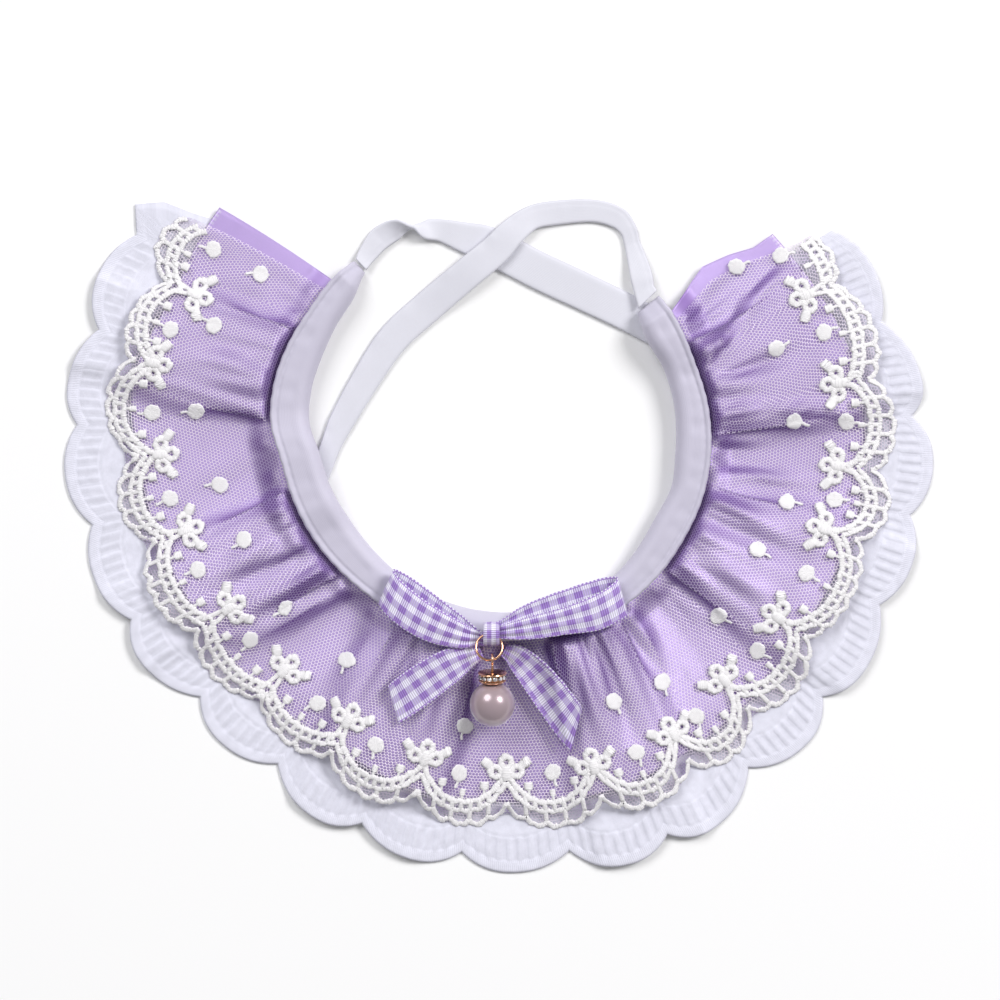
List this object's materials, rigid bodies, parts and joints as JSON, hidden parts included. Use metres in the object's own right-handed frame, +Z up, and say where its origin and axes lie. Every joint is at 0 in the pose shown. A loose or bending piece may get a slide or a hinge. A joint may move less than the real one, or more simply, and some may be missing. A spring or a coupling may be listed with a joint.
{
  "type": "cat bib collar",
  "caption": "Ruffled bib collar for a cat, laid flat: neck tape with crossed ties, lace, satin and tulle frill, gingham bow and pearl charm.",
  "frame": {"origin": "on the surface it lies on, under the middle of its bounding box", "axes": "+X to the right as it lies, along the ruffle's widest reach; +Y from the bow towards the ties; +Z up, out of the surface"},
  "size_m": [0.1994, 0.1546, 0.0142],
  "materials": {
    "white_cotton": "woven cotton lace, matt",
    "lilac_satin": "satin weave, soft sheen",
    "lilac_tulle": "fine net with white embroidery",
    "white_tape": "smooth folded tape",
    "lilac_gingham": "crisp checked ribbon",
    "rose_gold": "polished plating",
    "pearl_white": "pearl lustre"
  },
  "bodies": {
    "root": {"cotton_lace_ruffle": "white_cotton", "satin_ruffle": "lilac_satin", "tulle_lace_ruffle": "lilac_tulle", "neckband": "white_tape", "tie_left": "white_tape", "tie_right": "white_tape", "bow_loop_left": "lilac_gingham", "bow_loop_right": "lilac_gingham", "bow_tail_left": "lilac_gingham", "bow_tail_right": "lilac_gingham", "bow_knot": "lilac_gingham"},
    "ring": {"jump_ring": "rose_gold"},
    "charm": {"eye_pin": "rose_gold", "pearl_cap": "rose_gold", "pearl": "pearl_white"}
  },
  "joints": [
    {"name": "ring_swing", "type": "hinge", "parent": "root", "child": "ring", "pos_m": [-0.00216, -0.02241, 0.00976], "axis": [-1, 0, 0], "range_deg": [0, 75]},
    {"name": "pearl_swing", "type": "hinge", "parent": "ring", "child": "charm", "pos_m": [-0.00146, -0.02813, 0.01129], "axis": [-1, 0, 0], "range_deg": [0, 80]}
  ]
}
